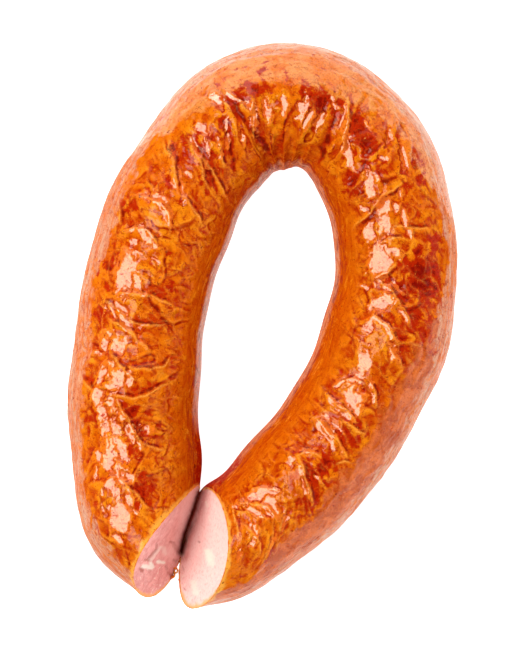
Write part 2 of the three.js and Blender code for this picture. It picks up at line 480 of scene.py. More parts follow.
# Flat places that the folds pull tight and that shine as a whole, as seen from above: from x, y to
# x, y, half width, shine.
FLATS = (
    (-39.5, 41, -35, 41.3, 1.1, 0.9), (-34, 41.5, -30.3, 37.5, 1.4, 0.9),
    (-30.3, 37.5, -29.2, 32, 1, 0.9), (-43, 30.6, -38.5, 31.2, 1.1, 1),
    (-38.5, 30.5, -34.5, 26, 1.2, 1), (-34.5, 26.3, -33, 24, 0.6, 0.8),
    (-42, 26.5, -39.5, 26, 0.9, 0.5), (-42.5, 23, -42.3, 19, 2.2, 0.9),
    (-42.6, 20.5, -43.2, 12.6, 3.2, 1), (-39.8, 15, -38.8, 11.2, 1.1, 1),
    (-40, 10.8, -36.5, 9.5, 0.7, 1), (-39.3, 23.5, -37.8, 22.3, 0.6, 0.8),
    (-34.6, 21, -33.3, 19.3, 0.5, 0.6), (-46.5, 8.5, -43.3, 4, 0.9, 0.8),
    (-50.6, 6.6, -49.4, 4.4, 0.6, 0.7), (-48.3, 5, -45.5, 2, 0.7, 0.8),
    (-44.6, 3.2, -42.7, -1.2, 0.9, 0.9), (-40, -0.6, -35.5, -0.4, 0.6, 0.4),
    (-48.8, -2.2, -46.3, -5, 1.6, 0.9), (-46.3, -5, -43.9, -7.5, 1.8, 1),
    (-50.3, -3, -49.5, -7.5, 1.1, 0.8), (-53, -9, -50.8, -8.4, 0.7, 0.8),
    (-39, -3.5, -36.2, -7.6, 0.6, 0.4), (-49.5, -12.8, -46.4, -15, 1.6, 0.9),
    (-46, -15, -44.9, -18.6, 1.7, 1), (-50.2, -14, -51.6, -18, 1, 0.7),
    (-41.6, -14.8, -41.8, -18, 0.9, 0.5), (-50.4, -19.4, -46, -18.8, 0.9, 0.9),
    (-51.8, -20.6, -52.4, -25, 1.4, 0.8), (-47.6, -23.6, -48.6, -27.6, 1.6, 0.9),
    (-45.2, -26.4, -43, -30.6, 1.1, 0.9), (-42.6, -31, -40.7, -35.6, 1, 0.9),
    (-38.4, -31.6, -33.4, -33.2, 1.3, 0.42), (-50.6, -26, -49.8, -33, 1.3, 0.9),
    (-46.8, -30.5, -46, -35.5, 1.7, 0.4), (-49.6, -30.5, -50, -38, 1.4, 0.9),
    (-49.6, -37, -48.6, -41.5, 1.8, 0.55), (-47.2, -38, -47, -44.6, 2.9, 1),
    (-45.6, -44.4, -42.4, -48, 1.9, 1), (-45, -36.5, -43.6, -41.5, 1.5, 0.8),
    (-43.6, -46.4, -41.5, -48, 0.9, 1), (-47.8, -48.8, -45.8, -54, 1.4, 1),
    (-42, -53, -41.5, -56.5, 1.2, 0.9), (-50.4, -51.5, -50, -54, 0.5, 0.7),
    (-50, -56.5, -49.6, -59, 0.5, 0.7), (-41, -57, -39.8, -59.5, 0.6, 0.8),
    (-45.2, -58, -45.3, -63.5, 2.8, 1), (-46.7, -66, -44.5, -68.3, 1, 0.9),
    (-52.5, -44, -52.7, -47.5, 0.6, 0.8), (-52, -40, -51.6, -42.5, 0.7, 0.7),
    (-39, -36.5, -38.5, -38.8, 0.5, 0.9), (-26, 49, -25, 44.6, 0.7, 0.7),
    (-25.2, 46, -24.8, 40, 0.8, 0.8), (-28.8, 46, -27, 42, 0.6, 0.7),
    (-24.5, 48.5, -22.6, 47.2, 0.6, 0.4), (-16.2, 74.6, -13.6, 69.6, 1.7, 0.6),
    (-20, 64, -19, 61.2, 1.2, 0.7), (-22.8, 58.5, -19.6, 53.6, 0.7, 0.8),
    (-18, 58.5, -17, 54.2, 0.8, 0.7), (-18.6, 52.4, -17, 49.6, 0.5, 0.9),
    (-12, 65.5, -11.7, 61, 0.5, 0.8), (-14.3, 59, -13.3, 56.2, 0.8, 0.7),
    (-13.2, 55.4, -12.8, 52, 0.5, 0.8), (-10.7, 60, -10.3, 56, 0.6, 0.7),
    (-6.4, 60, -6.1, 57.2, 0.9, 0.6), (-11.3, 74, -6.2, 70.2, 0.6, 0.6),
    (-5.4, 70, -2.6, 67.6, 1.4, 0.9), (-2.7, 67.6, -2.2, 60.6, 0.8, 1),
    (1, 69.2, 2.3, 64.4, 1.2, 0.9), (6.7, 72, 7, 66, 1.2, 0.6),
    (13, 70.5, 12.6, 63.6, 1.7, 0.7), (15.4, 67, 14, 62.2, 1.4, 0.8),
    (19, 66.2, 16.9, 62.2, 1, 0.7), (22, 71.5, 23.3, 68.6, 0.6, 0.6),
    (26, 69.6, 25.9, 66.2, 0.6, 0.7), (25.9, 64.6, 26.3, 58, 0.9, 0.9),
    (25.9, 57.5, 27.4, 50.8, 1.3, 1), (32.3, 64.6, 33.6, 62.2, 0.7, 0.8),
    (41.4, 64.4, 39.8, 57.2, 1.3, 0.4), (45.2, 58, 45.3, 50, 1.8, 0.5),
    (36.6, 53, 40, 51.8, 0.7, 0.6), (33.4, 48.4, 35.3, 45, 1.2, 0.7),
    (33, 46.5, 34, 41.2, 1.4, 0.8), (31, 37.4, 33, 35.6, 0.7, 0.9),
    (38.2, 39.4, 37.8, 35.8, 2.2, 1), (41.6, 38.5, 42, 36.2, 0.9, 0.6),
    (43.5, 42.6, 43.5, 40.2, 0.7, 0.7), (43.8, 35.4, 45.3, 32.2, 1.1, 0.9),
    (45.2, 30.6, 47, 27.9, 0.7, 0.8), (38.5, 33, 38, 28.2, 1.8, 0.8),
    (38, 28.2, 35.8, 25.2, 1, 0.9), (33.8, 31, 33.1, 27.6, 1.4, 0.6),
    (37, 24.6, 35.8, 16, 2.6, 1), (39.2, 23.8, 43.2, 22.2, 1, 0.9),
    (40, 19, 37.1, 15.2, 0.9, 1), (31, 12.4, 32.5, 12.1, 0.7, 0.8),
    (38.4, 13, 39.8, 10.6, 0.7, 0.9), (40.3, 13.2, 43.6, 10.8, 0.7, 0.9),
    (34.8, 6.4, 40, 7.6, 1.8, 0.9), (42.7, 5.3, 45.7, 1.4, 0.6, 0.9),
    (43.3, 6.6, 47, 5.7, 0.5, 0.7), (35.8, 2.8, 38, 0.2, 0.7, 0.8),
    (37.7, 0.4, 41.4, -4.2, 0.9, 0.9), (34, 1.5, 32.5, -2.4, 1, 0.5),
    (40.1, -5.6, 42.6, -11.6, 1.1, 1), (32.5, -8.4, 31.6, -14, 1.6, 1),
    (23, -18.6, 25.6, -17, 0.8, 0.8), (25.6, -16.8, 30.8, -17, 0.9, 0.9),
    (28.4, -21, 29.2, -25, 2.9, 1), (29, -25.4, 29.5, -27.4, 1.2, 0.9),
    (34, -18, 34.3, -20, 0.7, 0.8), (34, -20.6, 35.3, -24.6, 0.6, 0.8),
    (20.6, -22.2, 24, -25.8, 1.1, 0.5), (24, -25.8, 28, -29.5, 1.1, 0.5),
    (16.8, -29.2, 20, -29.8, 1.3, 0.75), (17.6, -30.8, 21.3, -34.5, 1.6, 0.8),
    (22, -31.1, 25.6, -33.8, 0.5, 0.8), (20.6, -35.6, 22.5, -38.8, 0.7, 0.8),
    (24.4, -39, 25, -41.2, 0.7, 0.9), (12.6, -39.8, 16, -38.9, 0.6, 0.7),
    (8, -40.6, 9, -44, 0.8, 0.4), (11, -44, 12.7, -48, 0.6, 0.8),
    (12.6, -48.2, 14.8, -54.4, 0.6, 0.9), (16.5, -46.6, 18.5, -49.4, 0.5, 0.7),
    (-2.4, -51.2, 4, -52.6, 1.3, 0.7), (-4, -54.3, 1, -53.8, 1.4, 0.75),
    (1, -54.6, 4.3, -59.8, 1.5, 0.8), (-9, -57, -5.2, -56.2, 1.2, 0.6),
    (-5, -57.2, 0.8, -60.6, 1.1, 0.6), (7.1, -57.4, 7.4, -60, 0.6, 0.9),
    (7.4, -60.4, 6, -64.2, 0.6, 0.8), (-4, -63, -2.4, -64.4, 0.8, 0.7),
    (-2, -64.6, -2.5, -67.6, 1.3, 1), (3.3, -65.6, 0.9, -73.8, 0.5, 0.8),
    (-7.6, -71, -8, -74, 1, 0.6),
)
# Single folds: from x, y to x, y, bow to the left of the way, height, gentle reach, steep reach.
# The gentle side lies to the right of the way. A negative height makes a valley.
FOLDS = (
    (-11.5, 72.6, 3.7, 50.7, 0.8, -1.3, 2.4, 1.6), (-13.1, 66.3, -8.4, 47.6, 0.6, -1.1, 2.2, 1.6),
    (-16.5, 75, -10.1, 66.7, 0.5, 0.5, 1.6, 0.5), (-11.4, 73.4, -3.7, 66.4, 0.4, 0.6, 1.5, 0.5),
    (-3.7, 70.6, -2.4, 58.3, 0.3, 0.8, 1.3, 0.5), (10, 68.7, 4.5, 53.8, -0.5, -0.7, 2, 1.6),
    (20.5, 72.6, 15.8, 60.8, 0.3, -0.7, 2, 1.5), (27.2, 72.2, 24.6, 54.2, 0.5, 0.9, 1.4, 0.5),
    (23.7, 70.2, 16.6, 50.7, 0.8, -1, 2.2, 1.5), (33, 52.3, 26.8, 44.4, 0.3, -0.7, 2, 1.4),
    (-23.3, 60.1, -14.7, 42.8, 0.6, -1, 2.2, 1.5), (-20, 53, -11, 39.5, 0.8, 0.7, 1.8, 0.6),
    (-13.4, 57.1, -12.2, 49.7, 0.2, 0.5, 1.2, 0.4), (-29.3, 60.7, -26.4, 41.4, -0.6, 0.8, 1.8, 0.6),
    (-26.4, 41.4, -18.4, 31.8, 0.6, 0.7, 1.8, 0.5), (-23.8, 58.4, -17.4, 43, 0.8, 0.6, 1.5, 0.5),
    (-35.4, 63.2, -28, 51.3, 0.5, 0.5, 1.8, 0.5), (-46.9, 43, -45, 32, 0.3, 0.4, 1.5, 0.5),
    (-39.5, 40.8, -29, 29, 4.2, 0.7, 2.2, 0.6), (-43.7, 30.2, -33.1, 24.2, 3, 0.6, 2, 0.5),
    (-46.6, 11, -28, 5.9, 1.2, 0.7, 2.2, 0.6), (-50, 8, -43.5, 2.4, 0.3, 0.4, 1.2, 0.4),
    (-48.8, 2.1, -35.4, -8.5, 0.8, 0.8, 2, 0.6), (-42, 1.5, -30.5, 0.4, -0.8, 0.4, 1.6, 0.5),
    (-48.5, -9.1, -41.4, -16.2, 0.4, 0.6, 1.8, 0.5), (-42.1, -13, -29, -10.1, -2.6, 0.7, 2, 0.5),
    (-48.5, -21.6, -30.2, -18.7, -2.2, 0.7, 2.2, 0.6), (-46.6, -23.5, -37.9, -39.2, 0.8, 0.7, 1.8, 0.6),
    (-61, -13, -53.4, -20.8, 0.3, 0.5, 1.6, 0.5), (-38.6, -37.3, -31.4, -39.4, 0.3, 0.4, 1.5, 0.5),
    (-45.6, -48, -36, -57, 0.5, 0.5, 1.6, 0.5), (44, 45.3, 27.5, 28.2, -1.2, 0.8, 2, 0.6),
    (42, 31.8, 53, 30.9, -0.5, 0.5, 1.6, 0.5), (34.5, 23.5, 45.2, 27, 1.8, 0.5, 2, 0.5),
    (41.8, 19.7, 35, 14, 0.3, 0.6, 1.6, 0.5), (36.9, 14.3, 46.8, 0, 0.6, 0.7, 1.8, 0.6),
    (35, 4, 42.4, -5.3, 0.5, 0.7, 1.8, 0.5), (38.6, -4.4, 43.4, -13, 0.3, 0.6, 1.5, 0.5),
    (45, -10.4, 50.8, -19.4, 0.4, 0.5, 1.6, 0.5), (47, -5.6, 52, -9.5, 0.2, 0.4, 1.3, 0.4),
    (22, -19.3, 32.4, -19.2, 2.4, 0.6, 1.8, 0.5), (33.6, -17.4, 36.4, -25.5, 0.3, 0.6, 1.5, 0.5),
    (19.2, -21.4, 29.6, -30.6, 0.5, 0.7, 1.8, 0.6), (15.2, -28.6, 26.4, -41.8, 1.4, 0.8, 2, 0.6),
    (24.4, -30.6, 32.2, -34.2, 0.4, 0.5, 1.5, 0.5), (10.8, -40.6, 18.4, -41.5, 1.4, 0.5, 1.6, 0.5),
    (11, -41, 15.6, -56.8, 0.5, 0.8, 1.8, 0.6), (23.2, -43, 28, -43, 0, 0.3, 1, 0.35),
    (-4.6, -53.4, 6.2, -52.4, 1.4, 0.5, 1.6, 0.5), (-9.4, -57, 5, -61.8, 3.2, 0.7, 1.8, 0.6),
    (-8.2, -58.2, 2, -61.6, 0.6, 0.5, 1.4, 0.45), (7.7, -56.8, 5.4, -65.4, 0.2, 0.6, 1.4, 0.45),
    (3.6, -64.6, -0.7, -76, 0.4, 0.6, 1.4, 0.45), (-6, -62.8, -1.4, -72.8, 1.8, 0.6, 1.6, 0.5),
    (-10.4, -56, -7.4, -67, 0.4, 0.5, 1.5, 0.45),
)


def from_stroke(x, y, x0, y0, x1, y1):
    """How far places lie ahead of a stroke's start and to its left, and the stroke's length, all
    as seen from above."""
    length = math.hypot(x1 - x0, y1 - y0)
    way_x = (x1 - x0) / length
    way_y = (y1 - y0) / length
    ahead = (x - x0) * way_x + (y - y0) * way_y
    left = (y - y0) * way_x - (x - x0) * way_y
    return ahead, left, length


TILT_TO_LEFT = 13         # degrees: the flats face the softbox halfway
FLAT_DEPTH = 0.9          # how far a flat place may rise or sink
RUN_ON = 0.8              # half widths that a flat place runs on beyond its stroke
WIDENING = 1.1
FLAT_EDGE = (0.75, 1.45)  # half widths: whole inside the first, gone beyond the second
FAR_AWAY = 10             # keeps the middle of a flat place on top of the sausage
LEAST_FACING = 0.4        # limits how far a steep skin moves onto a flat place
faces_up = smoothstep(normals[:, :, 2], 0.15, 0.4)
flatness, flat_relief, shine = np.zeros((3, ROWS_ALONG, COLUMNS_ROUND))
flat_wander = 0.25 * swells(81, 2.6) + 0.3 * swells(82, 1.2)
bent = surface[:, :, :2].copy()
for axis in range(2):
    bent[:, :, axis] += swells(83 + axis, 4.5) + 0.6 * swells(86 + axis, 1.7)
facing = np.array([-math.tan(math.radians(TILT_TO_LEFT)), 0, 1.0])
facing /= np.linalg.norm(facing)
for x0, y0, x1, y1, half_width, strength in FLATS:
    ahead, left, length = from_stroke(bent[:, :, 0], bent[:, :, 1], x0, y0, x1, y1)
    half_length = length / 2 + RUN_ON * half_width
    away = np.hypot((ahead - length / 2) / half_length, left / (WIDENING * half_width))
    inside = (1 - smoothstep(away + flat_wander, *FLAT_EDGE)) * faces_up
    nearest = np.argmin(away + FAR_AWAY * (1 - faces_up))
    centre = surface.reshape(-1, 3)[nearest]
    drop = (centre - surface) @ facing / np.maximum(normals @ facing, LEAST_FACING)
    flat_relief = lerp(flat_relief, FLAT_DEPTH * np.tanh(drop / FLAT_DEPTH), inside)
    flatness = np.maximum(flatness, inside)
    shine = np.maximum(shine, strength * inside)

relief, crease_shade, crest_highlight = np.zeros((3, ROWS_ALONG, COLUMNS_ROUND))


def ridge(distance, width):
    """1 on a line, falling smoothly to 0 beside it."""
    return np.exp(-((distance / width) ** 2))


CREST_WIDTH = 0.28
FAINTEST_CREASE_SHADE = 0.12
CREASE_SHADE_GROWTH = 2.6       # how much darker a crease is for each millimetre of the fold's height


def add_folds(distance, shown, height, gentle, steep, crease_shade_strength, crest_highlight_strength):
    """Adds folds to the relief, a painted highlight along their crests, and painted shade in the
    creases at the foot of their steep sides. The painted shade of a valley runs along its bottom."""
    np.add(relief, height * shown * fold_height(distance, gentle, steep), out=relief)
    darkness = crease_shade_strength * min(abs(height) * CREASE_SHADE_GROWTH + FAINTEST_CREASE_SHADE, 1)
    if height < 0:
        foot = ridge(distance, 0.5 + 0.25 * abs(height))
    else:
        foot = ridge(distance - 1.15 * steep, 0.4 * steep + CREST_WIDTH)
        np.maximum(crest_highlight, crest_highlight_strength * shown * ridge(distance, CREST_WIDTH), out=crest_highlight)
    np.maximum(crease_shade, darkness * shown * foot, out=crease_shade)


# Families of smaller folds that run all along the sausage. The crown is the closed end. Each:
# spacing, stretch, heading, seed, reach, height, gentle, steep, strength on the limbs and crown.
crown = smoothstep(ring_share, 0.33, 0.4) * (1 - smoothstep(ring_share, 0.55, 0.6))
FAMILIES = (
    (12, 2.4, 30, 101, 4.0, 0.65, 3.0, 0.6, 1.0, 0.3),
    (9, 2.2, -12, 202, 4.0, 0.55, 2.2, 0.55, 1.0, 0.4),
    (7, 2.4, 50, 303, 3.0, 0.42, 1.6, 0.45, 1.0, 0.3),
    (8, 3.5, 2, 606, 2.5, 1.0, 2.2, 0.55, 0.0, 1.0),
    (4.8, 2.6, 20, 404, 2.0, 0.3, 0.9, 0.28, 1.0, 0.4),
    (3.2, 3.0, 40, 505, 1.5, 0.18, 0.6, 0.22, 1.0, 0.35),
)
FAMILY_HEIGHT = 0.6       # times the heights above, because the families cross
FAMILY_STEEP = 1.7        # times the steep reaches
PULLED_FLAT = 0.8         # the share of a fold that a flat place takes away
for spacing, stretch, heading, seed, reach, height, gentle, steep, on_limbs, on_crown in FAMILIES:
    distance = fold_distance(spacing, stretch, heading, seed, reach)
    shown = patches(spacing * 1.1, seed + 5, -0.25, 0.3) * lerp(on_limbs, on_crown, crown)
    shown = shown * (1 - PULLED_FLAT * flatness)
    add_folds(
        distance, shown, FAMILY_HEIGHT * height, gentle, FAMILY_STEEP * steep, crease_shade_strength=1, crest_highlight_strength=0.25
    )

FOLD_HEIGHT = 0.95        # times the heights of the single folds
FOLD_GENTLE = 1.2         # times their gentle reaches
FOLD_STEEP = 1.6          # times their steep reaches
waver = 0.35 * swells(91, 2.2) + 0.8 * swells(92, 6)
for x0, y0, x1, y1, bow, height, gentle, steep in FOLDS:
    ahead, left, length = from_stroke(surface[:, :, 0], surface[:, :, 1], x0, y0, x1, y1)
    share = ahead / length
    distance = left - bow * 4 * share * (1 - share) + waver
    shown = smoothstep(share, -0.12, 0.2) * (1 - smoothstep(share, 0.8, 1.12)) * faces_up
    gentle = FOLD_GENTLE * gentle
    steep = FOLD_STEEP * steep
    add_folds(distance, shown, FOLD_HEIGHT * height, gentle, steep, crease_shade_strength=1.3, crest_highlight_strength=1)

# Painted shade: a dark line runs along parts of the edge of a flat place, where the skin dips away
# from it.
brink_shade = ridge(flatness - 0.25, 0.16) * patches(2.4, 94, -0.1, 0.25)
crease_shade = np.maximum(crease_shade, 0.85 * brink_shade)
# The painted shade in the creases is fainter near the right cut.
crease_shade = crease_shade * lerp(1, 0.5, smoothstep(ring_share, 0.89, 0.95))

# Between the folds the skin is finely rumpled on top, and streaked lengthwise on the outer side.
SHRUNK = 0.4              # how far the crumpled casing has drawn in
relief = relief * crumpled - SHRUNK * crumpled
relief += flat_relief
rumple = 0.05 * swells(95, 1.6, 1.7) + 0.16 * swells(96, 3.6, 3.4) + 0.02 * swells(97, 0.95, 1.0)
rumple -= 0.22 * np.abs(noise(s / 3.4 + a / 9, a / 5.5 - s / 9, 99))
relief += rumple * crumpled * (0.5 + 0.8 * patches(7, 98, -0.2, 0.4)) * (1 - 0.6 * flatness)
waving = a + 2.0 * swells(74, 7)
streaks = noise(s / 9, waving / 3.0, 72) * 0.25 + noise(s / 2.8, waving / 1.7, 73) * 0.1
streaks += swells(77, 1.8, 1.6) * 0.05
streaks -= 0.3 * np.abs(noise(s / 8, waving / 2.4, 75)) * patches(9, 76, -0.2, 0.3)
on_side = smoothstep(np.cos(np.radians(degrees - 20)), 0.1, 0.5)
relief += streaks * (1 - crumpled) * on_side
# The relief dies away towards the cuts and the table.
cut_distance = np.minimum(s, RING_LENGTH - s)
relief = relief * smoothstep(cut_distance, 0, 6) * smoothstep(surface[:, :, 2], 0.5, 8)


def blurred(values, reach):
    """The values smoothed over the given reach in millimetres along and round the sausage."""
    waves_s = np.fft.fftfreq(values.shape[0], ROW_STEP)[:, None]
    waves_a = np.fft.fftfreq(values.shape[1], math.tau * MEAN_RADIUS / COLUMNS_ROUND)[None, :]
    keep = np.exp(-2 * (math.pi * reach) ** 2 * (waves_s**2 + waves_a**2))
    return np.fft.ifft2(np.fft.fft2(values) * keep).real


# How far each place lies below what is round it, from -1 on a ridge to 1 in a hollow. Hollows are
# darkened with it as painted shade.
HOLLOW_REACH = 1.8
HOLLOW_DEPTH = 0.25
hollow_shade = np.clip((blurred(relief, HOLLOW_REACH) - relief) / HOLLOW_DEPTH, -1, 1)
surface = surface + normals * relief[:, :, None]


def add_mesh(name, points, faces, materials, painted=None, material_of_face=None):
    """A smooth mesh of points in millimetres, with the values painted on its points."""
    mesh = bpy.data.meshes.new(name)
    mesh.from_pydata((points * MM).tolist(), [], faces)
    mesh.polygons.foreach_set("use_smooth", [True] * len(mesh.polygons))
    for material in materials:
        mesh.materials.append(material)
    if material_of_face:
        mesh.polygons.foreach_set("material_index", material_of_face)
    for label, values in (painted or {}).items():
        if values.ndim == 2:
            layer = mesh.attributes.new(label, "FLOAT_VECTOR", "POINT")
            layer.data.foreach_set("vector", (values * MM).astype(np.float32).reshape(-1))
        else:
            layer = mesh.attributes.new(label, "FLOAT", "POINT")
            layer.data.foreach_set("value", values.astype(np.float32))
    mesh.validate()
    thing = bpy.data.objects.new(name, mesh)
    bpy.context.collection.objects.link(thing)
    return thing


# The casing's colours run from amber to dark red. What depends on the place in the ring is painted
# on the mesh's points, and fine noise breaks it up here.
casing, skin = new_material("smoked_casing")
place = skin.node("ShaderNodeTexCoord", output=3)


def grain(place, size, detail, roughness=0.6, distortion=0.0):
    """Noise from 0 to 1 over a place, whose swells are about the given size, in millimetres."""
    return place.node(
        "ShaderNodeTexNoise",
        {"noise_dimensions": "3D"},
        {
            "Vector": place,
            "Scale": 1 / (size * MM),
            "Detail": detail,
            "Roughness": roughness,
            "Distortion": distortion,
        },
    )


def painted_value(shade, label, output=2):
    """A value painted on the mesh, or with output 1 a painted vector."""
    return shade.node("ShaderNodeAttribute", {"attribute_name": label}, output=output)


AMBER = (0.77, 0.175, 0.002, 1)
BRIGHT_AMBER = (0.9, 0.32, 0.008, 1)
ORANGE_BROWN = (0.56, 0.07, 0.001, 1)
RED_BROWN = (0.45, 0.018, 0.001, 1)
CREASE_SHADE_RED = (0.2, 0.006, 0.001, 1)
DARK_RED = (0.22, 0.004, 0.001, 1)
PALE_REFLECTION_PINK = (0.67, 0.35, 0.22, 1)
PEACH_SIDE = (0.78, 0.28, 0.07, 1)
ROSY_SIDE = (0.7, 0.15, 0.025, 1)
ROSY_SHADE = (0.5, 0.08, 0.008, 1)
GOLDEN_EDGE = (0.95, 0.42, 0.06, 1)
PALE_HIGHLIGHT = (0.95, 0.42, 0.07, 1)
RIM_BROWN = (0.3, 0.05, 0.025, 1)
HIGHLIGHT_AMBER = (0.88, 0.19, 0.02, 1)

STREAK_STRETCH = (0.25, 1, 1)    # streaks are four times as long as they are wide
streaky = skin.node(
    "ShaderNodeVectorMath",
    {"operation": "MULTIPLY"},
    {0: painted_value(skin, "straight", output=1), 1: STREAK_STRETCH},
)
hollow_shading = painted_value(skin, "hollow_shade")
roast = painted_value(skin, "roast")
crumpled_here = painted_value(skin, "crumpled")
inner_side = painted_value(skin, "inner_side")
inner_wall_shade = painted_value(skin, "inner_wall_shade")
mottle = grain(place, 5, 5, 0.6, 0.6).between(0.4, 0.62)
fine_mottle = grain(place, 1.3, 4).between(0.35, 0.68)
speckle = grain(place, 0.5, 2).between(0.4, 0.66)
pores = grain(place, 1.2, 5, 0.75, 0.5).between(0.57, 0.63)

# Mottled amber, brighter in clear places, and darker in hollows as painted shade.
tone = (mottle * 0.6 + fine_mottle * 0.2 + hollow_shading * 0.7).towards(AMBER, ORANGE_BROWN)
clear = (grain(place, 7, 3) - hollow_shading * 0.05).between(0.5, 0.62)
tone = (clear * 0.5 * crumpled_here).towards(tone, BRIGHT_AMBER)

# The outer side, painted pale pink as a painted reflection of the white room, with amber islands,
# brown threads and red dashes drawn out lengthwise.
band = grain(streaky, 2.2, 5, 0.6, 1.5).between(0.34, 0.6).towards(ROSY_SIDE, PALE_REFLECTION_PINK)
band = (grain(place, 4, 4, 0.6, 1.0).between(0.5, 0.64) * 0.8).towards(band, AMBER)
band = (grain(streaky, 1.3, 4, 0.6, 2.0).between(0.54, 0.62) * 0.5).towards(band, ORANGE_BROWN)
dashes = grain(streaky, 1.2, 3, 0.6, 2.0).between(0.6, 0.66) * grain(place, 5, 2).between(0.46, 0.58)
band = (dashes * 0.9).towards(band, RED_BROWN)
# Painted shade darkens the inner wall towards orange-brown.
tone = (inner_wall_shade * (0.75 - mottle * 0.5)).towards(tone, ORANGE_BROWN)
tone = (painted_value(skin, "honey") * 0.8).towards(tone, mottle.towards(PEACH_SIDE, AMBER))
tone = painted_value(skin, "rosy").towards(tone, mottle.towards(ROSY_SHADE, ROSY_SIDE))
tone = painted_value(skin, "pale_reflection").towards(tone, band)

# Streaks on the inner side and the inner wall; the pale ones on the inner side are painted
# highlights. Each: where, their limits in the noise, strength, colour.
inner_streaks = grain(streaky, 1.9, 6, 0.7, 1.0)
for where, low, high, strength, colour in (
    (inner_side, 0.5, 0.6, 0.75, RIM_BROWN),
    (inner_side, 0.42, 0.36, 0.4, PALE_REFLECTION_PINK),
    (inner_wall_shade, 0.5, 0.62, 0.55, RED_BROWN),
    (inner_wall_shade, 0.46, 0.36, 0.5, BRIGHT_AMBER),
):
    tone = (inner_streaks.between(low, high) * where * strength).towards(tone, colour)

# Roasted patches, red-brown and darkest in the middle. Where the roast is negative it stayed bright.
# Roasted patches and blotches reach further into hollows, as painted shade.
roast_edge = (grain(place, 2.4, 6, 0.72, 0.8) - 0.5) * 2.6 + hollow_shading * 0.5
tone = (roast * -1 + roast_edge * 0.6).between(0.15, 0.9).towards(tone, BRIGHT_AMBER)
blotch = (grain(place, 3.8, 5, 0.65, 1.0) + hollow_shading * 0.08).between(0.53, 0.68) * crumpled_here
tone = (blotch * 0.85).towards(tone, RED_BROWN)
tone = (roast + roast_edge).between(0.25, 0.75).towards(tone, RED_BROWN)
tone = (roast + roast_edge * 0.8).between(0.85, 1.2).towards(tone, DARK_RED)

# A net of fine lines, painted shade in the creases of the folds and painted highlight on their crests.
net = place.maths("ABSOLUTE", grain(place, 4.5, 3, 0.55) - 0.5, 0)
small_lines = (1 - net.between(0, 0.02)) * grain(place, 2.2, 2).between(0.42, 0.58)
tone = (small_lines * (crumpled_here * 0.5 + 0.35)).towards(tone, RED_BROWN)
broken = grain(place, 2.4, 3).between(0.4, 0.56)
crease_shade_here = painted_value(skin, "crease_shade") * (broken * 0.6 + 0.4)
tone = (crease_shade_here.between(0, 0.55) * 0.8).towards(tone, RED_BROWN)
tone = (crease_shade_here.between(0.45, 1) * 0.9).towards(tone, CREASE_SHADE_RED)
tone = (painted_value(skin, "crest_highlight") * (speckle * 0.5 + 0.35)).towards(tone, PALE_HIGHLIGHT)

# The tight flat places shine, up to a ragged edge and between the pores, and their colour is
# painted brighter amber there as painted highlight.
gloss_and_highlight = painted_value(skin, "shine") + (grain(place, 1.1, 6, 0.75, 0.5) - 0.5) * 2
gloss_and_highlight = gloss_and_highlight.between(0.3, 0.6)
tone = (gloss_and_highlight * 0.6).towards(tone, HIGHLIGHT_AMBER)
tone = (gloss_and_highlight * pores * 0.8).towards(tone, RED_BROWN)
unbroken = (1 - pores * 0.9) * (1 - small_lines * 0.8)
# A golden band along the cuts, a painted glow of light showing through the thin casing there.
tone = (painted_value(skin, "cut_edge_glow") * 0.9).towards(tone, GOLDEN_EDGE)

# Specks: size in millimetres, detail, where they begin and are whole, strength, colour.
for size, detail, low, high, strength, colour in (
    (0.45, 2, 0.6, 0.7, 0.5, RED_BROWN),
    (0.95, 2, 0.64, 0.7, 0.7, RED_BROWN),
    (1.7, 3, 0.67, 0.72, 0.8, DARK_RED),
):
    tone = (grain(place, size, detail).between(low, high) * strength).towards(tone, colour)
# Pale glints painted into the colour as painted highlight; they also add a little to the coat.
glints = grain(place, 1.1, 4, 0.7, 0.6).between(0.63, 0.7) * crumpled_here
tone = (glints * 0.5).towards(tone, PALE_HIGHLIGHT)

fine_relief = grain(place, 0.55, 3) + fine_mottle * 0.9 - small_lines * 0.8
bumped = skin.node(
    "ShaderNodeBump", {}, {"Strength": 0.8, "Distance": 0.25 * MM, "Height": fine_relief}
)
finish_material(
    skin,
    {
        "Base Color": tone,
        "Roughness": fine_mottle * 0.1 + 0.2,
        "Specular IOR Level": 0.0,
        "Coat Weight": (painted_value(skin, "gloss") + gloss_and_highlight * 0.7) * unbroken + glints * 0.2,
        "Coat Roughness": 0.09,
        "Coat IOR": 1.6,
        "Normal": bumped,
    },
)

MEAT_PINK = (0.95, 0.49, 0.47, 1)
MEAT_MAUVE = (0.82, 0.35, 0.33, 1)
MEAT_PALE = (1, 0.7, 0.69, 1)
FAT_CREAM = (1, 0.88, 0.8, 1)
CASING_EDGE = (0.95, 0.5, 0.18, 1)
CRACK_BROWN = (0.42, 0.1, 0.07, 1)
GAP_SHADE_BROWN = (0.12, 0.012, 0.006, 1)

meat, mince = new_material("cut_meat")
meat_place = mince.node("ShaderNodeTexCoord", output=3)
paleness_and_gap_shading = painted_value(mince, "paleness_and_gap_shading")
lean = grain(meat_place, 3, 4).between(0.38, 0.64).towards(MEAT_PINK, MEAT_MAUVE)
flesh = paleness_and_gap_shading.between(0, 1).towards(lean, MEAT_PALE)
flesh = (paleness_and_gap_shading - 1).between(0, 1).towards(flesh, FAT_CREAM)
minced = grain(meat_place, 1.0, 3).between(0.5, 0.64)
flesh = (minced * (painted_value(mince, "coarse") * 0.5 + 0.3)).towards(flesh, MEAT_MAUVE)
flecks = grain(meat_place, 1.3, 3).between(0.6, 0.68)
flesh = (flecks * (painted_value(mince, "coarse") * 0.5 + 0.4)).towards(flesh, FAT_CREAM)
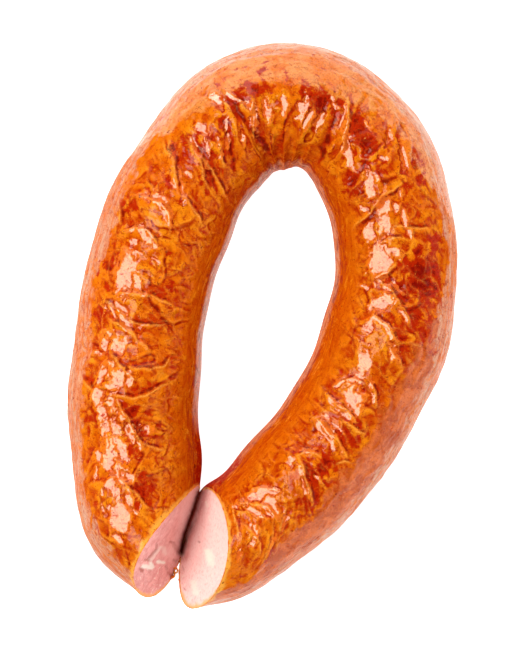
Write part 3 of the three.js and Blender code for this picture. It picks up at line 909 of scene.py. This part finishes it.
# Fat, cracks, the casing's rim, and painted shade along the gap between the cut faces.
for label, colour in (
    ("fat", FAT_CREAM),
    ("crack", CRACK_BROWN),
    ("rim", CASING_EDGE),
    ("gap", GAP_SHADE_BROWN),
):
    flesh = painted_value(mince, label).towards(flesh, colour)
meat_bumped = mince.node(
    "ShaderNodeBump", {}, {"Strength": 0.5, "Distance": 0.2 * MM, "Height": grain(meat_place, 0.8, 3)}
)
finish_material(
    mince,
    {"Base Color": flesh, "Roughness": 0.45, "Specular IOR Level": 0.0, "Normal": meat_bumped},
)

# Roasted places seen from above: x, y, half length, half width, heading of the length, strength.
# A negative strength is a place that stayed bright.
ROASTED = (
    (50.4, 14.6, 9, 5.5, 90, 1.25), (45.6, 11.4, 5, 4, 30, 1.1), (54.2, 24.2, 4.5, 3, 90, 0.8),
    (52, -1.4, 5.5, 3, 100, 0.8), (47.8, 2.4, 4, 3, 120, 0.8), (16.5, 70.3, 6, 4, -20, 1.25),
    (28, 65.8, 5, 3.2, 100, 1), (32, 57.2, 7.5, 3.6, 110, 1.2), (36, 48.2, 3.5, 3, 60, 0.8),
    (28, 44.6, 5, 3, 110, 0.95), (47.8, 46.6, 4.5, 3, 45, 0.75), (-4.5, 73.5, 4.2, 3, 20, 1.1),
    (-9.2, 69, 4.4, 3, 70, 1.05), (-11.7, 63.5, 5.5, 2.2, 100, 0.9), (-17.5, 57, 7.5, 4, 110, 0.85),
    (3, 69.6, 4, 1.6, 90, 0.55), (0, 78.5, 4.5, 1.2, 80, 0.8), (7.2, 78, 3.5, 0.9, 85, 0.8),
    (-8, 77, 2.5, 0.8, 110, 0.5), (-23.2, 54.6, 5.5, 1.8, 115, 0.8), (-20, 48.2, 5, 1.6, 120, 0.7),
    (-16.2, 43.4, 4, 1.6, 125, 0.7), (-29, 46, 4, 1.6, 110, 0.6), (-49.8, 19.4, 2.5, 2.5, 0, 0.55),
    (-29.6, 11.4, 4, 2, 0, 0.6), (-52, 3.4, 2.5, 2, 0, 0.6), (-41.8, 37, 3, 3, 0, 0.5),
    (-53.6, -28.6, 3, 2, 0, 0.7), (-41.1, -30.2, 6.5, 3.2, 110, 0.95), (-42.1, -38.9, 4, 3, 90, 0.8),
    (-37.3, -51, 4.5, 3.5, 120, 1), (-44, -52.6, 3, 2, 90, 0.6), (26.4, -31.8, 4, 3, 60, 0.7),
    (29.6, -35.7, 3, 2, 45, 0.7), (19, -44.6, 5, 3.5, 60, 1.05), (14.2, -55.8, 4, 3, 70, 0.85),
    (42.4, -3, 5, 2.5, 125, 0.7), (37.6, 57.8, 3.5, 2.5, 60, -0.9), (2.4, -52, 9, 5, 30, -0.6),
    (-34.4, -22.9, 4, 3, 0, -0.8), (-32, -39, 3.5, 3, 0, -0.7), (-33.8, -48.6, 3.5, 2, 20, -0.8),
    (-52.5, -54.5, 3.5, 2, 90, -0.8), (-36, 3, 5, 3, 20, -0.6), (40, -0.5, 3.5, 2, 130, -0.6),
    (36.5, -12, 4, 3, 60, -0.7), (53.6, 35.4, 2.5, 2, 0, -0.7), (29.5, 20, 14, 4, 90, -0.35),
    (-31, -4, 10, 5, 80, -0.4), (-47, 26, 5, 3, 70, -0.5),
)
ragged_x = bent[:, :, 0] + 1.2 * swells(67, 3)
ragged_y = bent[:, :, 1] + 1.2 * swells(68, 3)
roast_strength = np.zeros((ROWS_ALONG, COLUMNS_ROUND))
for x, y, half_length, half_width, heading, strength in ROASTED:
    turn = math.radians(heading)
    ahead, left, _ = from_stroke(ragged_x, ragged_y, x, y, x + math.cos(turn), y + math.sin(turn))
    away = np.hypot(ahead / half_length, left / half_width)
    spot = abs(strength) * np.exp(-0.7 * away**2) * faces_up
    signed_spot = math.copysign(1, strength) * spot
    roast_strength = np.where(spot > np.abs(roast_strength), signed_spot, roast_strength)

# Painted shade: the inner side is darker red-brown near both cuts, where the two ends press together.
INNER_END = 230           # degrees, where the inner side meets the underside
inner_half = degrees < INNER_END
pressed_shade = smoothstep(degrees, 148, 165) * inner_half
pressed_shade = pressed_shade * (1 - smoothstep(np.minimum(ring_share, 1 - ring_share), 0.05, 0.13))
roast_strength = np.maximum(roast_strength, 0.7 * pressed_shade)

# The outer side changes colour at these limits, and beyond the first it is painted pale as a
# painted reflection. Each step: share of the ring, and degrees. The last table gives the strength
# of the pale painted reflection on the inner rim.
PALE_LIMIT = (
    (0, 43), (0.05, 43), (0.09, 38), (0.2, 42), (0.25, 38), (0.29, 45), (0.34, 38), (0.42, 34),
    (0.5, 34), (0.58, 37), (0.62, 39), (0.66, 33), (0.69, 42), (0.73, 42), (0.8, 32), (1, 28),
)
ROSY_LIMIT = (
    (0.68, 20), (0.7, 32), (0.715, 58), (0.74, 67), (0.8, 67), (0.86, 66), (0.92, 62), (0.96, 58),
    (1, 48),
)
HONEY_LIMIT = ((0.34, 20), (0.39, 60), (0.43, 74), (0.5, 75), (0.54, 68), (0.6, 50), (0.63, 20))
RIM_STRENGTH = ((0.08, 0), (0.14, 1), (0.42, 1), (0.47, 0.3), (0.52, 0.7), (0.9, 0.5), (0.97, 0.2))
edge_wander = 5 * swells(61, 14) + 7 * swells(62, 4.5) + 4 * swells(63, 1.5)
UNDERSIDE_START = 190     # degrees
outer_side = (degrees < 90) | (degrees > 270)
side_degrees = np.where(degrees > 270, degrees - 360, degrees)
above_underside = lerp(0.2, 1, smoothstep(side_degrees + 9 * swells(60, 20, 7), -48, -4))


def beyond(limits, softness):
    """1 on the outer side of a wandering limit, and 0 on top and where no limit is given."""
    limit = zone(limits) + edge_wander
    on_top = smoothstep(side_degrees, limit - softness, limit + softness)
    limited = (ring_share >= limits[0][0]) & (ring_share <= limits[-1][0])
    return (1 - on_top) * outer_side * above_underside * limited


pale_reflection = beyond(PALE_LIMIT, 2.5) * (0.8 + 0.35 * swells(64, 11, 3))
honey = beyond(HONEY_LIMIT, 1.5)
underside = (degrees > UNDERSIDE_START) * (1 - above_underside * outer_side)
rosy = np.maximum(beyond(ROSY_LIMIT, 1.5), 0.7 * underside)

# The inner side: a pale rim low down, a painted reflection, streaked, below the wall's painted shade.
rim_wander = 2.5 * swells(65, 9)
inner_rim = smoothstep(degrees + rim_wander, 155, 161) * inner_half * zone(RIM_STRENGTH)
pale_reflection = np.maximum(pale_reflection, 0.85 * inner_rim)
wall_shade_strength = smoothstep(degrees, 126, 144) * (1 - inner_rim) * inner_half
inner_strength = smoothstep(degrees + 2 * rim_wander, 143, 156) * inner_half

# What faces up shines most, and the sides keep a weaker gloss of their own.
upwards_share = smoothstep(surface_normals(surface)[:, :, 2], 0.7, 0.82)
towards_light = lerp(0.08, 1, upwards_share) * (1 - smoothstep(degrees, 135, 155))
shine = np.clip(1.3 * shine, 0, 1) * towards_light
gloss = 0.25 * towards_light
side_gloss = np.maximum(np.maximum(0.8 * honey, 0.5 * rosy), 0.3 * pale_reflection) * outer_side
left_limb = 1 - smoothstep(ring_share, 0.36, 0.5)
rim_gloss = inner_rim * lerp(0.3, 0.6, left_limb)
gloss = np.maximum(gloss, np.maximum(side_gloss, rim_gloss))
cut_waver = 0.9 * swells(66, 2.5)
cut_reach = lerp(1.3, 2.8, smoothstep(surface[:, :, 1], -72, -60))
cut_edge_glow = (1 - smoothstep(cut_distance + cut_waver, 0.4, cut_reach)) * faces_up

# Marks on the cut faces as seen from above: x, y to x, y, half width, strength.
FAT_BITS = (
    (-37.4, -76.1, -35.2, -77, 0.75, 1), (-35.6, -75.4, -35, -76.6, 0.5, 1),
    (-33.4, -75.2, -31.6, -76, 0.5, 1), (-35.4, -74.4, -32.4, -70.6, 0.5, 0.55),
    (-31.6, -71, -31, -73, 0.6, 0.4), (-17.4, -72.2, -16.9, -74.6, 1.1, 0.9),
    (-16.2, -73.2, -16.3, -75.6, 0.9, 0.7), (-22.2, -82.5, -21.6, -85.5, 1, 0.6),
    (-18.2, -56.6, -17.6, -57.8, 0.35, 0.5), (-17.2, -61, -16.9, -62.2, 0.3, 0.5),
    (-23.4, -60.4, -22.9, -61.2, 0.25, 0.6),
)
CRACKS = (
    (-33.3, -69, -33.6, -71.2, 0.3, 0.35), (-33.6, -71.2, -36.4, -74.2, 0.35, 0.5),
    (-36.9, -74.2, -36, -74.4, 0.4, 0.5), (-38.4, -77, -37.9, -77.8, 0.45, 0.6),
    (-29.2, -69.2, -28.4, -69.8, 0.35, 0.5), (-28.4, -70.2, -27, -73.4, 0.6, 0.35),
    (-31, -77.4, -30.6, -78.6, 0.4, 0.3), (-30.4, -79.6, -29.8, -80.8, 0.35, 0.4),
    (-28.6, -75.6, -27.6, -76.2, 0.35, 0.5), (-20.8, -69.3, -20.4, -69.5, 0.2, 0.8),
    (-26, -78, -25.6, -79, 0.3, 0.3), (-25.4, -84.8, -25, -85.2, 0.25, 0.5),
)
GAP_LINE = ((-20.2, -53.5), (-21.9, -59.0), (-23.5, -63.5), (-25.1, -68.0), (-26.2, -73.5))


def stroke_distance(x, y, x0, y0, x1, y1):
    """Distance in millimetres, as seen from above, from the stroke between two places."""
    ahead, left, length = from_stroke(x, y, x0, y0, x1, y1)
    return np.hypot(ahead - np.clip(ahead, 0, length), left)


def marks(x, y, strokes, wander_off):
    """The strength of ragged marks at places seen from above."""
    shown = np.zeros_like(x)
    for x0, y0, x1, y1, half_width, strength in strokes:
        away = stroke_distance(x, y, x0, y0, x1, y1) / half_width + wander_off
        shown = np.maximum(shown, strength * (1 - smoothstep(away, 0.4, 1.7)))
    return shown


def from_gap(x, y):
    """Distance in millimetres from the line where the two ends press together."""
    strokes = [(*start, *end) for start, end in zip(GAP_LINE, GAP_LINE[1:])]
    return np.min([stroke_distance(x, y, *stroke) for stroke in strokes], axis=0)


FACE_RINGS = 64
FACE_CROWDING = 1.5       # the rings lie closer together near the rim
face_share = ((np.arange(1, FACE_RINGS + 1) / FACE_RINGS) ** FACE_CROWDING)[:, None, None]
SKIN_POINTS = ROWS_ALONG * COLUMNS_ROUND
LAST_ROW = ROWS_ALONG - 1
index = np.arange(SKIN_POINTS).reshape(ROWS_ALONG, COLUMNS_ROUND)
this_row = index[:-1]
next_row = index[1:]
corners = [this_row, np.roll(this_row, -1, axis=1), np.roll(next_row, -1, axis=1), next_row]
face_list = np.stack(corners, axis=-1).reshape(-1, 4).tolist()
skin_face_count = len(face_list)
points = [surface.reshape(-1, 3)]
point_count = SKIN_POINTS
face_paint = []
for row, inner_row, right_end in (
    (0, ROWS_INWARDS, False),
    (LAST_ROW, LAST_ROW - ROWS_INWARDS, True),
):
    rim = surface[row]
    middle = rim.mean(axis=0)
    spokes = rim - middle
    outwards = np.cross(spokes, np.roll(spokes, -1, axis=0)).sum(axis=0)
    outwards /= np.linalg.norm(outwards)
    outwards *= math.copysign(1, outwards @ (middle - surface[inner_row].mean(axis=0)))
    level = np.cross(outwards, (0, 0, 1.0))
    level /= np.linalg.norm(level)
    upwards = np.cross(level, outwards)
    face = lerp(rim[None], middle, face_share)
    x = face[:, :, 0]
    y = face[:, :, 1]
    across = (face - middle) @ level
    up = (face - middle) @ upwards
    from_rim = face_share[:, :, 0] * np.linalg.norm(spokes, axis=1)[None, :]

    mark_edge = 0.35 * noise(across / 1.4, up / 2.6, 501) + 0.3 * noise(across / 0.7, up / 1.4, 502)
    fat = marks(x, y, FAT_BITS, mark_edge)
    crack = marks(x, y, CRACKS, mark_edge)
    gap = from_gap(x, y)
    rim_width = lerp(0.7, 2.2, 1 - smoothstep(y, -88, -80)) * (1 + 0.5 * noise(across / 3, up / 3, 503))
    coarse = 1 - smoothstep(y, -79, -75)
    # Beside the gap the paleness is painted light and shade: the right face is darker and pinker there,
    # the left one paler. The right face is also paler towards its right and less pale near its top.
    if right_end:
        coarse = 0.2 * coarse
        flesh_paleness_and_gap_shading = (0.85 + 0.3 * smoothstep(x, -24, -12)) * smoothstep(gap, 0.8, 4)
        flesh_paleness_and_gap_shading = flesh_paleness_and_gap_shading * lerp(1, 0.75, smoothstep(y, -62, -54))
    else:
        flesh_paleness_and_gap_shading = 0.9 * ridge(gap, 4.5)
    paint = {
        "paleness_and_gap_shading": flesh_paleness_and_gap_shading + 0.2 * noise(across / 6, up / 9, 504),
        "coarse": coarse,
        "fat": fat,
        "crack": crack,
        "rim": 0.9 * (1 - smoothstep(from_rim, 0.15 * rim_width, rim_width)),
        "gap": 0.95 * ridge(gap, 0.9) + 0.05 * ridge(gap, 2),
    }
    face_paint.append((row, point_count, paint))

    bumps = 0.13 * noise(across / 1.5, up / 2.2, 505) + 0.08 * noise(across / 0.7, up / 1.1, 506)
    lift = bumps * (1 + 1.5 * coarse) + 0.15 * fat - 0.5 * crack
    lift = lift * smoothstep(from_rim, 0.1, 1.0) - 0.12 * smoothstep(from_rim, 0, 0.3)
    face = face + outwards * lift[:, :, None]
    previous = index[row]
    for ring in range(FACE_RINGS - 1):
        points.append(face[ring])
        current = point_count + np.arange(COLUMNS_ROUND)
        point_count += COLUMNS_ROUND
        quad = [previous, np.roll(previous, -1), np.roll(current, -1), current]
        face_list += np.stack(quad if right_end else quad[::-1], axis=-1).tolist()
        previous = current
    points.append(middle[None, :])
    for first, second in zip(previous.tolist(), np.roll(previous, -1).tolist()):
        face_list.append([first, second, point_count] if right_end else [second, first, point_count])
    point_count += 1
material_of_face = [0] * skin_face_count + [1] * (len(face_list) - skin_face_count)

# What the two materials read, painted on the points.
skin_paint = {
    "roast": roast_strength,
    "crease_shade": crease_shade * crumpled,
    "crest_highlight": crest_highlight * crumpled,
    "crumpled": crumpled,
    "hollow_shade": hollow_shade,
    "pale_reflection": pale_reflection,
    "rosy": rosy,
    "honey": honey,
    "inner_wall_shade": wall_shade_strength,
    "inner_side": inner_strength,
    "shine": shine,
    "gloss": gloss,
    "cut_edge_glow": cut_edge_glow,
}
face_points = point_count - SKIN_POINTS
painted = {label: np.append(values, np.zeros(face_points)) for label, values in skin_paint.items()}
for label in face_paint[0][2]:
    painted[label] = np.zeros(point_count)
for row, first, paint in face_paint:
    for label, values in paint.items():
        rings_and_middle = np.append(values[:-1], values[-1, 0])
        painted[label][index[row]] = values[0]
        painted[label][first : first + len(rings_and_middle)] = rings_and_middle
# The place of each point as if the sausage lay straight along X.
turn_round = a / MEAN_RADIUS
straight = np.stack([s, MEAN_RADIUS * np.cos(turn_round), MEAN_RADIUS * np.sin(turn_round)], axis=-1)
painted["straight"] = np.vstack([straight.reshape(-1, 3), np.zeros((face_points, 3))])
sausage = add_mesh(
    "smoked_sausage", np.vstack(points), face_list, [casing, meat], painted, material_of_face
)
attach(sausage, "root")
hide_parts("sausage")

# ---- The casing's torn edges ----------------------------------------------------------------
# At both cuts the knife tore the casing a little, so that a thin ragged lip stands out round the
# meat, and a curled shred of it hangs at the foot of the left cut.

LIP_THICKNESS = 0.14
edge_casing, edge_shade = new_material("casing_edge")
edge_place = edge_shade.node("ShaderNodeTexCoord", output=3)
edge_tone = grain(edge_place, 1.5, 3).between(0.4, 0.62).towards(AMBER, GOLDEN_EDGE)
# Painted shade darkens the lip along the gap.
edge_tone = painted_value(edge_shade, "gap").towards(edge_tone, GAP_SHADE_BROWN)
finish_material(
    edge_shade, {"Base Color": edge_tone, "Roughness": 0.35, "Specular IOR Level": 0.1}
)


def strip_faces(first, length, closed):
    """The quads of a strip whose every step has four points round it, from its first point."""
    found = []
    for step in range(length if closed else length - 1):
        this_step = first + 4 * step
        next_step = first + 4 * ((step + 1) % length)
        for side in range(4):
            beside = (side + 1) % 4
            found.append([this_step + side, this_step + beside, next_step + beside, next_step + side])
    if not closed:
        last = first + 4 * (length - 1)
        found.append([first + 3, first + 2, first + 1, first])
        found.append([last, last + 1, last + 2, last + 3])
    return found


TEAR_CIRCLE = 9           # the noise for the tears is read along a circle of this radius
LIP_DEPTH = 3             # rows from the cut to the one that tells the lip's direction
strip_points = []
strip_quads = []
for row, inner_row, seed in ((0, LIP_DEPTH, 601), (LAST_ROW, LAST_ROW - LIP_DEPTH, 602)):
    rim = surface[row]
    back = surface[inner_row] - rim
    back /= np.linalg.norm(back, axis=1, keepdims=True)
    proud = normals[row]
    lap = math.tau * np.arange(COLUMNS_ROUND) / COLUMNS_ROUND
    circle_x = TEAR_CIRCLE * np.cos(lap)
    circle_y = TEAR_CIRCLE * np.sin(lap)
    tear = noise(circle_x + 20, circle_y + 20, seed)
    fringe = noise(3 * circle_x + 40, 3 * circle_y + 40, seed)
    low_down = 1 - smoothstep(rim[:, 2], 4, 16)
    reach = np.clip(0.08 + 0.25 * tear + 0.15 * fringe, 0.03, 1)
    reach = reach + low_down * np.clip(0.3 * tear + 0.25 * fringe, 0, 1)
    front = rim - back * (0.05 + 0.5 * reach)[:, None]
    base = rim + back * 0.3
    lip = [
        base - proud * LIP_THICKNESS,
        front - proud * LIP_THICKNESS,
        front + proud * (0.6 * reach)[:, None],
        base + proud * 0.02,
    ]
    lip = np.stack(lip, axis=1).reshape(-1, 3)
    lip[:, 2] = np.maximum(lip[:, 2], 0)
    strip_quads += strip_faces(sum(map(len, strip_points)), COLUMNS_ROUND, True)
    strip_points.append(lip)

# The curled shred: x, y, z along its lower edge.
SHRED = (
    (-29.6, -79.0, 0.4), (-28.9, -78.5, 0.3), (-28.0, -78.6, 0.2), (-27.5, -79.2, 0.1),
    (-27.7, -80.0, 0.1), (-28.3, -80.1, 0.1), (-28.6, -79.5, 0.2), (-28.4, -80.8, 0.1),
    (-28.9, -81.6, 0.1), (-29.6, -81.3, 0.3),
)
SHRED_STEPS = 60
SHRED_HEIGHT = 1.3
SHRED_THICKNESS = 0.28
SHRED_TAPER = 0.9
lower_edge = curve_through(SHRED, np.linspace(0, 1, SHRED_STEPS))
way = np.gradient(lower_edge, axis=0)
sideways = np.column_stack([way[:, 1], -way[:, 0], np.zeros(SHRED_STEPS)])
sideways *= SHRED_THICKNESS / np.linalg.norm(sideways, axis=1, keepdims=True)
upper_edge = lower_edge.copy()
upper_edge[:, 2] += SHRED_HEIGHT * (0.7 + 0.3 * np.sin(np.linspace(0, 9, SHRED_STEPS)))
shred = [
    lower_edge - sideways,
    lower_edge + sideways,
    upper_edge + SHRED_TAPER * sideways,
    upper_edge - SHRED_TAPER * sideways,
]
strip_quads += strip_faces(sum(map(len, strip_points)), SHRED_STEPS, False)
strip_points.append(np.stack(shred, axis=1).reshape(-1, 3))
edge_points = np.concatenate(strip_points)
# The lip's painted shade along the gap.
edge_painted = {"gap": 0.95 * ridge(from_gap(edge_points[:, 0], edge_points[:, 1]), 1.2)}
edges = add_mesh("torn_casing", edge_points, strip_quads, [edge_casing], edge_painted)
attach(edges, "root")

# ---- The crumbs -----------------------------------------------------------------------------
# Crumbs of minced meat that the knife pulled out of the left cut. They lie at its foot and cling
# to the low edge of the gap.

crumb_meat, crumb_shade = new_material("meat_crumbs")
crumb_place = crumb_shade.node("ShaderNodeTexCoord", output=3)
crumb_tone = grain(crumb_place, 0.9, 3).between(0.4, 0.6).towards(MEAT_MAUVE, ORANGE_BROWN)
finish_material(crumb_shade, {"Base Color": crumb_tone, "Roughness": 0.5})

# Each crumb: x, y, radius.
CRUMBS = (
    (-28.1, -75.9, 0.55), (-27.4, -76.3, 0.35), (-28.7, -76.7, 0.5), (-27, -75.4, 0.4),
    (-26.6, -74.9, 0.35), (-29.5, -78, 0.45), (-28.9, -81.2, 0.45), (-29.5, -81.9, 0.35),
    (-26.9, -82.3, 0.4), (-26.8, -76.6, 0.25),
)
CRUMB_BANDS = 8           # rings of points between the two poles
CRUMB_SIDES = 16
LUMPINESS = 0.35
polar = np.linspace(0, math.pi, CRUMB_BANDS + 2)[1:-1, None]
turn = np.linspace(0, math.tau, CRUMB_SIDES, endpoint=False)[None, :]
ball = [np.sin(polar) * np.cos(turn), np.sin(polar) * np.sin(turn), np.cos(polar) + 0 * turn]
ball = np.vstack([np.stack(ball, axis=-1).reshape(-1, 3), (0, 0, 1), (0, 0, -1)])
crumb_points = []
crumb_faces = []
for number, (x, y, radius) in enumerate(CRUMBS):
    lumps = noise(1.3 * ball[:, 0] + 7 * number, 1.3 * ball[:, 1] + 1.1 * ball[:, 2], 701)
    crumb = ball * (1 + LUMPINESS * lumps)[:, None] * radius
    crumb_points.append(crumb + np.array([x, y, -crumb[:, 2].min()]))
    first = number * len(ball)
    top = first + CRUMB_BANDS * CRUMB_SIDES
    lowest = top - CRUMB_SIDES
    for side in range(CRUMB_SIDES):
        beside = (side + 1) % CRUMB_SIDES
        for upper in range(first, lowest, CRUMB_SIDES):
            lower = upper + CRUMB_SIDES
            crumb_faces.append([upper + side, lower + side, lower + beside, upper + beside])
        crumb_faces.append([first + side, first + beside, top])
        crumb_faces.append([lowest + beside, lowest + side, top + 1])
crumbs = add_mesh("meat_crumbs", np.concatenate(crumb_points), crumb_faces, [crumb_meat])
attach(crumbs, "root")
